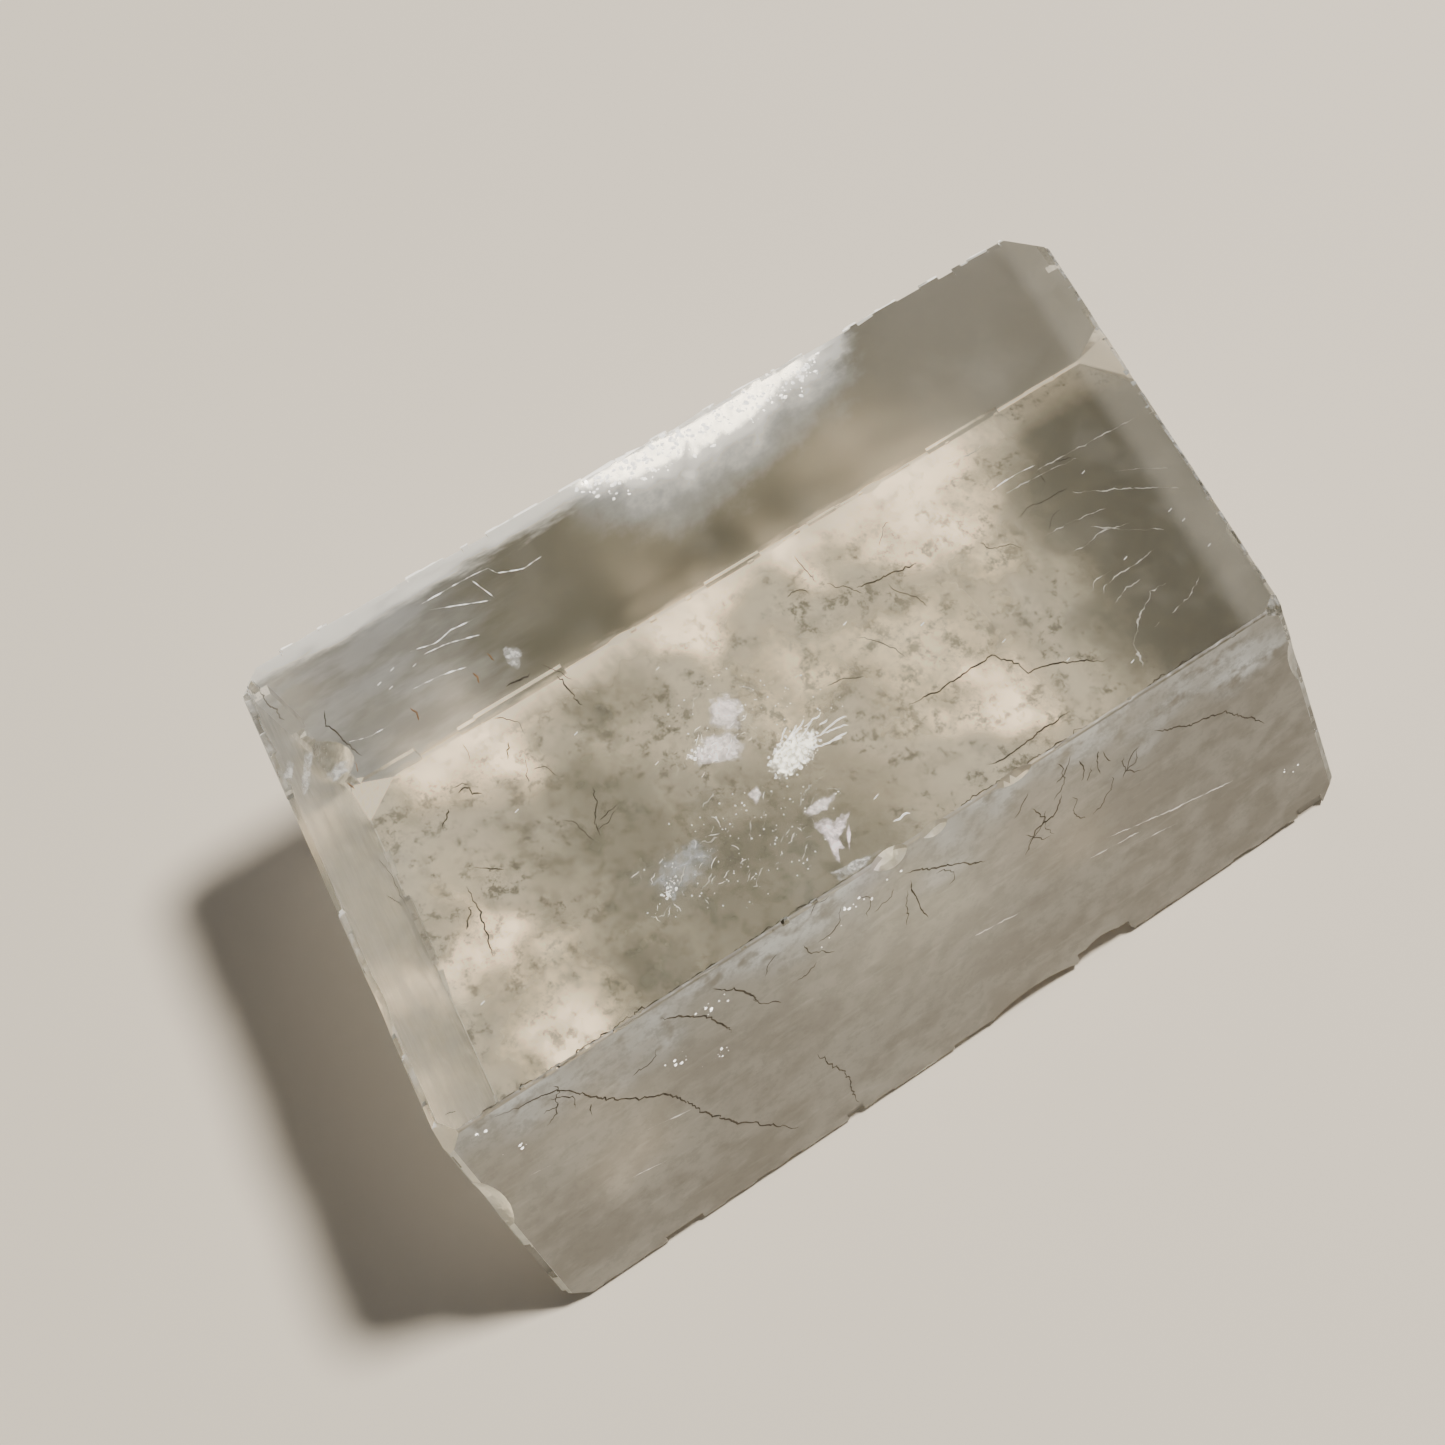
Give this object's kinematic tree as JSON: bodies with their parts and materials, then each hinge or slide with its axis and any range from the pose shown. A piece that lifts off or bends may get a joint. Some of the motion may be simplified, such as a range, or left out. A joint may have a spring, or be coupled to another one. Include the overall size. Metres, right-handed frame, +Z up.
{
  "type": "optical calcite",
  "caption": "Clear cleavage rhomb of optical calcite with flat slanted faces, fine ledges, chipped edges and corners; it lies flat on one of its two largest faces.",
  "frame": {"origin": "middle of the crystal's bounding box, on the face that it lies on", "axes": "+Z up, square to the face that it lies on and along its shortest extent; +X along its long edge and its longest extent"},
  "size_m": [0.0524, 0.0282, 0.0145],
  "materials": {
    "calcite": "clear, faintly smoky; flat cleavage faces with a satin polish, finely frosted worn edges, hairline cracks and small bright fractures inside"
  },
  "bodies": {
    "root": {"calcite_crystal": "calcite"}
  },
  "joints": []
}
